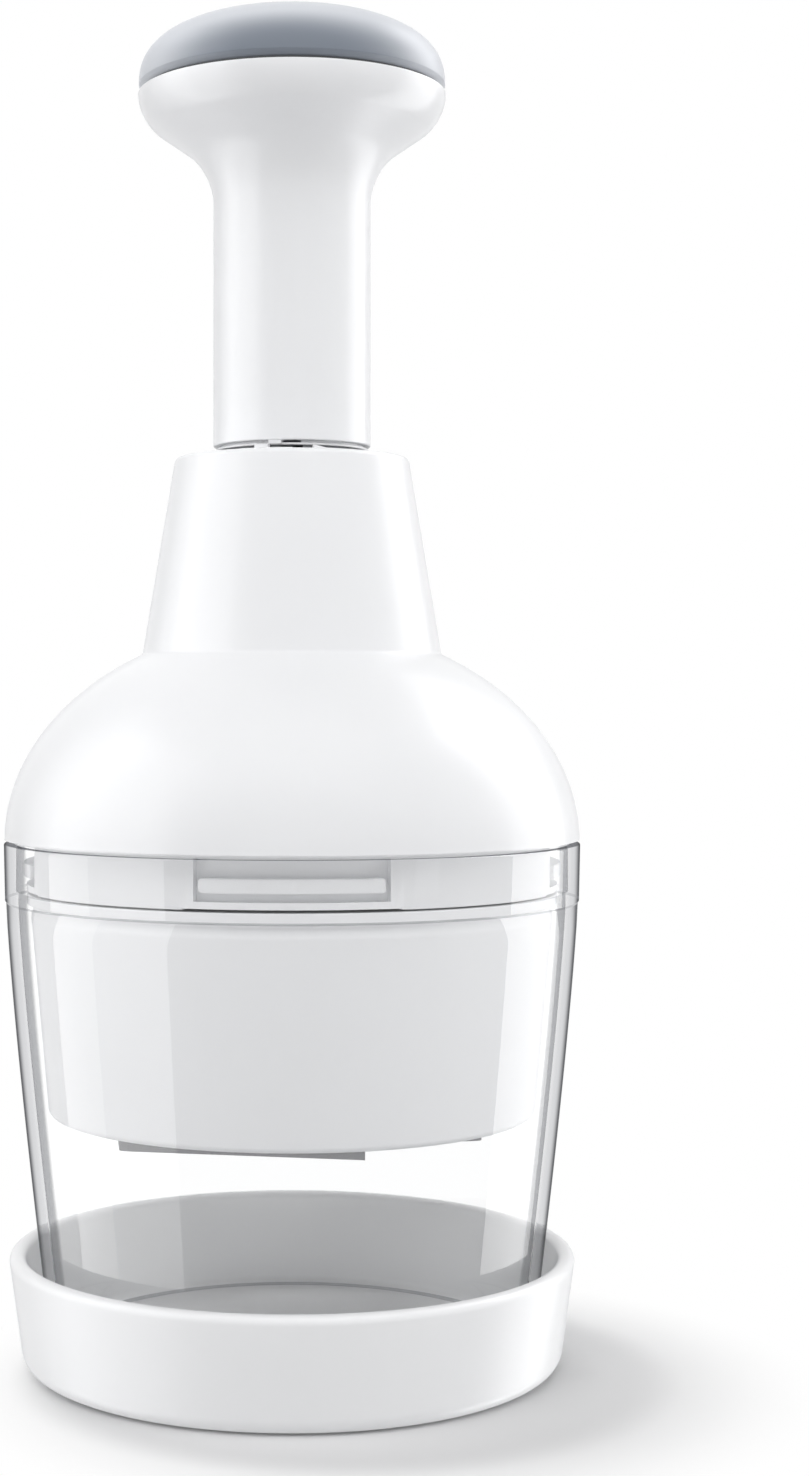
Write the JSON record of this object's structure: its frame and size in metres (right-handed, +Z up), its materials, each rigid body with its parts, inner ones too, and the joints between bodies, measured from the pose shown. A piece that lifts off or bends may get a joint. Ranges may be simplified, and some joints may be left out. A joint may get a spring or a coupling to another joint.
{
  "type": "manual food chopper",
  "caption": "Push-down food chopper: spring-loaded handle on a domed housing, turning folded blade in a guard, clear cup and base dish.",
  "frame": {"origin": "centre of the base dish's underside, on the table", "axes": "+Z up along the chopper's axis, -Y towards the viewer of the picture, +X to the right"},
  "size_m": [0.0998, 0.0998, 0.2333],
  "materials": {
    "white_plastic": "glossy moulded ABS",
    "clear_plastic": "clear moulded plastic",
    "grip_plastic": "soft satin grip",
    "grey_plastic": "satin acetal",
    "blade_steel": "brushed stainless",
    "steel": "plain stainless",
    "rubber": "matt"
  },
  "bodies": {
    "base": {"base_dish": "white_plastic"},
    "cup": {"clear_cup": "clear_plastic"},
    "housing": {"domed_housing": "white_plastic", "inner_frame": "white_plastic", "guide_tower": "grey_plastic", "spring_seat": "steel", "return_spring": "steel", "spindle_seal": "rubber", "index_pin_1": "steel", "index_pin_2": "steel", "frame_screw_1": "steel", "frame_screw_2": "steel", "frame_screw_3": "steel", "tower_screw_1": "steel", "tower_screw_2": "steel", "tower_screw_3": "steel"},
    "guard": {"blade_guard": "white_plastic"},
    "plunger": {"handle": "white_plastic", "knob_plug": "white_plastic", "grip_pad": "grip_plastic", "spindle_bush": "grey_plastic", "cushion_ring": "rubber"},
    "blade": {"spindle": "steel", "index_drum": "grey_plastic", "drum_pin": "steel", "thrust_washer": "steel", "spindle_nut": "steel", "blade_carrier": "white_plastic", "carrier_pin": "steel", "chopping_blade": "blade_steel", "blade_pin_1": "steel", "blade_pin_2": "steel", "blade_pin_3": "steel", "blade_pin_4": "steel"}
  },
  "joints": [
    {"name": "cup_lift", "type": "slide", "parent": "base", "child": "cup", "axis": [0, 0, 1], "range_m": [0, 0.04]},
    {"name": "housing_lift", "type": "slide", "parent": "cup", "child": "housing", "axis": [0, 0, 1], "range_m": [0, 0.06]},
    {"name": "guard_twist", "type": "hinge", "parent": "housing", "child": "guard", "pos_m": [0, 0, 0.0806], "axis": [0, 0, 1], "range_deg": [0, 30]},
    {"name": "plunger_press", "type": "slide", "parent": "housing", "child": "plunger", "axis": [0, 0, -1], "range_m": [0, 0.0376], "stiffness_N_per_m": 300, "springref_m": -0.02, "deforming": ["return_spring"]},
    {"name": "blade_index", "type": "hinge", "parent": "plunger", "child": "blade", "pos_m": [0, 0, 0.13], "axis": [0, 0, 1], "range_deg": [0, 30]}
  ],
  "couplings": [
    {"joint": "blade_index", "follows": "plunger_press", "rad_per_m": 13.925}
  ]
}
